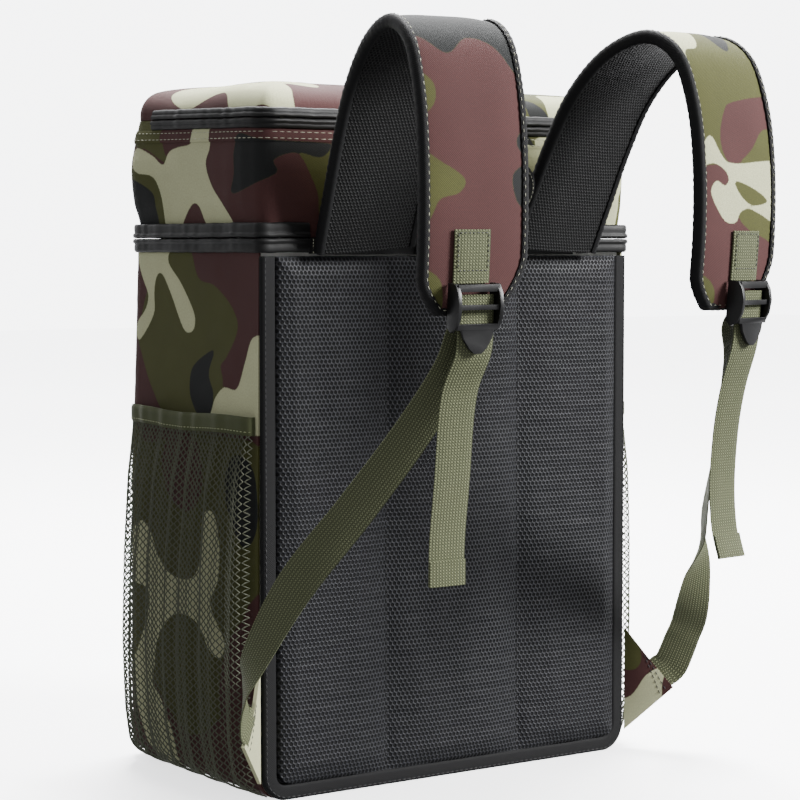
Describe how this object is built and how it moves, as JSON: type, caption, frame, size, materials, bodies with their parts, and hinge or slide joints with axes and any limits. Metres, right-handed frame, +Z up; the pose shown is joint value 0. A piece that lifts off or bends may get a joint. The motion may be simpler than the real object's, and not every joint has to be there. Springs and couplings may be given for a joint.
{
  "type": "insulated cooler backpack",
  "caption": "Insulated two-compartment cooler backpack in camouflage fabric, with padded arched shoulder straps, net side pockets and wrap-round zips.",
  "frame": {"origin": "on the floor under the middle of the lower compartment", "axes": "+Z up, -Y towards the wearer's back (harness side), +Y the front of the bag"},
  "size_m": [0.3855, 0.3794, 0.5004],
  "materials": {
    "camo_polyester": "woven camouflage print, matt",
    "black_polyester": "woven, matt",
    "air_mesh": "knitted spacer mesh",
    "back_board": "plain sheet",
    "foam": "closed-cell foam, stood in for by fabric",
    "foil_film": "wrinkled silver film",
    "webbing": "ribbed webbing",
    "buckle_plastic": "moulded, satin",
    "zip_rubber": "coated zip tape, satin",
    "zip_metal": "black enamel",
    "pull_cord": "woven tape",
    "pocket_net": "elastic net",
    "pocket_hem": "elastic binding"
  },
  "bodies": {
    "main_body": {"base_panel": "black_polyester", "front_panel": "camo_polyester", "left_side_panel": "camo_polyester", "right_side_panel": "camo_polyester", "back_board": "back_board", "back_pad": "air_mesh", "back_binding": "black_polyester", "foam_tub": "foam", "foil_liner": "foil_film", "main_zip_lower_tape": "zip_rubber", "zip_end_left": "black_polyester", "zip_end_right": "black_polyester", "pocket_net_left": "pocket_net", "pocket_net_right": "pocket_net", "pocket_hem_left": "pocket_hem", "pocket_hem_right": "pocket_hem", "web_tab_left": "camo_polyester", "web_tab_right": "camo_polyester", "lower_web_left": "webbing", "lower_web_right": "webbing", "front_pocket": "camo_polyester", "front_pocket_zip": "zip_rubber"},
    "upper_section": {"upper_wall": "camo_polyester", "divider_floor": "foil_film", "upper_foam": "foam", "upper_liner": "foil_film", "hinge_strip": "black_polyester", "upper_hem": "camo_polyester", "main_zip_upper_tape": "zip_rubber", "top_zip_lower_tape": "zip_rubber"},
    "top_lid": {"lid_cover": "camo_polyester", "lid_foam": "foam", "lid_liner": "foil_film", "top_zip_upper_tape": "zip_rubber"},
    "haul_loop": {"haul_loop": "black_polyester"},
    "strap_left": {"strap_pad_left": "camo_polyester", "strap_lining_left": "air_mesh", "strap_binding_left": "black_polyester", "anchor_web_left": "webbing"},
    "buckle_left": {"buckle_left": "buckle_plastic", "buckle_web_left": "webbing"},
    "tail_left": {"web_tail_left": "webbing"},
    "strap_right": {"strap_pad_right": "camo_polyester", "strap_lining_right": "air_mesh", "strap_binding_right": "black_polyester", "anchor_web_right": "webbing"},
    "buckle_right": {"buckle_right": "buckle_plastic", "buckle_web_right": "webbing"},
    "tail_right": {"web_tail_right": "webbing"},
    "main_zip_left_slider": {"main_zip_left_slider": "zip_metal"},
    "main_zip_left_pull": {"main_zip_left_pull": "pull_cord"},
    "main_zip_right_slider": {"main_zip_right_slider": "zip_metal"},
    "main_zip_right_pull": {"main_zip_right_pull": "pull_cord"},
    "top_zip_slider": {"top_zip_slider": "zip_metal"},
    "top_zip_pull": {"top_zip_pull": "pull_cord"},
    "front_pocket_slider": {"front_pocket_slider": "zip_metal"},
    "front_pocket_pull": {"front_pocket_pull": "pull_cord"}
  },
  "joints": [
    {"name": "main_lid_hinge", "type": "hinge", "parent": "main_body", "child": "upper_section", "pos_m": [0, -0.089, 0.356], "axis": [1, 0, 0], "range_deg": [0, 54]},
    {"name": "top_lid_hinge", "type": "hinge", "parent": "upper_section", "child": "top_lid", "pos_m": [0, 0.0872, 0.4482], "axis": [-1, 0, 0], "range_deg": [0, 100]},
    {"name": "haul_loop_swing", "type": "hinge", "parent": "main_body", "child": "haul_loop", "pos_m": [0, -0.089, 0.356], "axis": [1, 0, 0], "range_deg": [0, 33.21]},
    {"name": "strap_left_swing", "type": "hinge", "parent": "main_body", "child": "strap_left", "pos_m": [0, -0.089, 0.356], "axis": [1, 0, 0], "range_deg": [0, 33.21], "deforming": ["lower_web_left"]},
    {"name": "buckle_left_tilt", "type": "hinge", "parent": "strap_left", "child": "buckle_left", "pos_m": [-0.10894, -0.26846, 0.33639], "axis": [-0.9985, 0.0531, -0.0093], "range_deg": [0, 20]},
    {"name": "tail_left_swing", "type": "hinge", "parent": "buckle_left", "child": "tail_left", "pos_m": [-0.10827, -0.26264, 0.29785], "axis": [-0.9985, 0.0531, -0.0093], "range_deg": [0, 40]},
    {"name": "strap_right_swing", "type": "hinge", "parent": "main_body", "child": "strap_right", "pos_m": [0, -0.089, 0.356], "axis": [1, 0, 0], "range_deg": [0, 33.21], "deforming": ["lower_web_right"]},
    {"name": "buckle_right_tilt", "type": "hinge", "parent": "strap_right", "child": "buckle_right", "pos_m": [0.11121, -0.26746, 0.33645], "axis": [-0.9782, -0.2076, -0.0038], "range_deg": [0, 20]},
    {"name": "tail_right_swing", "type": "hinge", "parent": "buckle_right", "child": "tail_right", "pos_m": [0.11013, -0.26169, 0.2979], "axis": [-0.9782, -0.2076, -0.0038], "range_deg": [0, 40]},
    {"name": "main_zip_left_slide", "type": "slide", "parent": "main_body", "child": "main_zip_left_slider", "axis": [-1, 0, 0], "range_m": [0, 0.09]},
    {"name": "main_zip_right_slide", "type": "slide", "parent": "main_body", "child": "main_zip_right_slider", "axis": [1, 0, 0], "range_m": [0, 0.09]},
    {"name": "top_zip_slide", "type": "slide", "parent": "upper_section", "child": "top_zip_slider", "axis": [0, -0.9996, -0.0281], "range_m": [0, 0.09]},
    {"name": "front_pocket_slide", "type": "slide", "parent": "main_body", "child": "front_pocket_slider", "axis": [1, 0, 0], "range_m": [0, 0.18]},
    {"name": "main_zip_left_pull_swing", "type": "hinge", "parent": "main_zip_left_slider", "child": "main_zip_left_pull", "pos_m": [-0.009, 0.0977, 0.3665], "axis": [1, 0, 0], "range_deg": [0, 150]},
    {"name": "main_zip_right_pull_swing", "type": "hinge", "parent": "main_zip_right_slider", "child": "main_zip_right_pull", "pos_m": [0.009, 0.0977, 0.3665], "axis": [1, 0, 0], "range_deg": [0, 150]},
    {"name": "top_zip_pull_swing", "type": "hinge", "parent": "top_zip_slider", "child": "top_zip_pull", "pos_m": [0.15842, 0.044, 0.44694], "axis": [0, -1, 0], "range_deg": [0, 150]},
    {"name": "front_pocket_pull_swing", "type": "hinge", "parent": "front_pocket_slider", "child": "front_pocket_pull", "pos_m": [-0.097, 0.10323, 0.2613], "axis": [1, 0, 0], "range_deg": [0, 150]}
  ],
  "couplings": [
    {"joint": "haul_loop_swing", "follows": "main_lid_hinge", "ratio": 0.615},
    {"joint": "strap_left_swing", "follows": "main_lid_hinge", "ratio": 0.615},
    {"joint": "strap_right_swing", "follows": "main_lid_hinge", "ratio": 0.615}
  ]
}
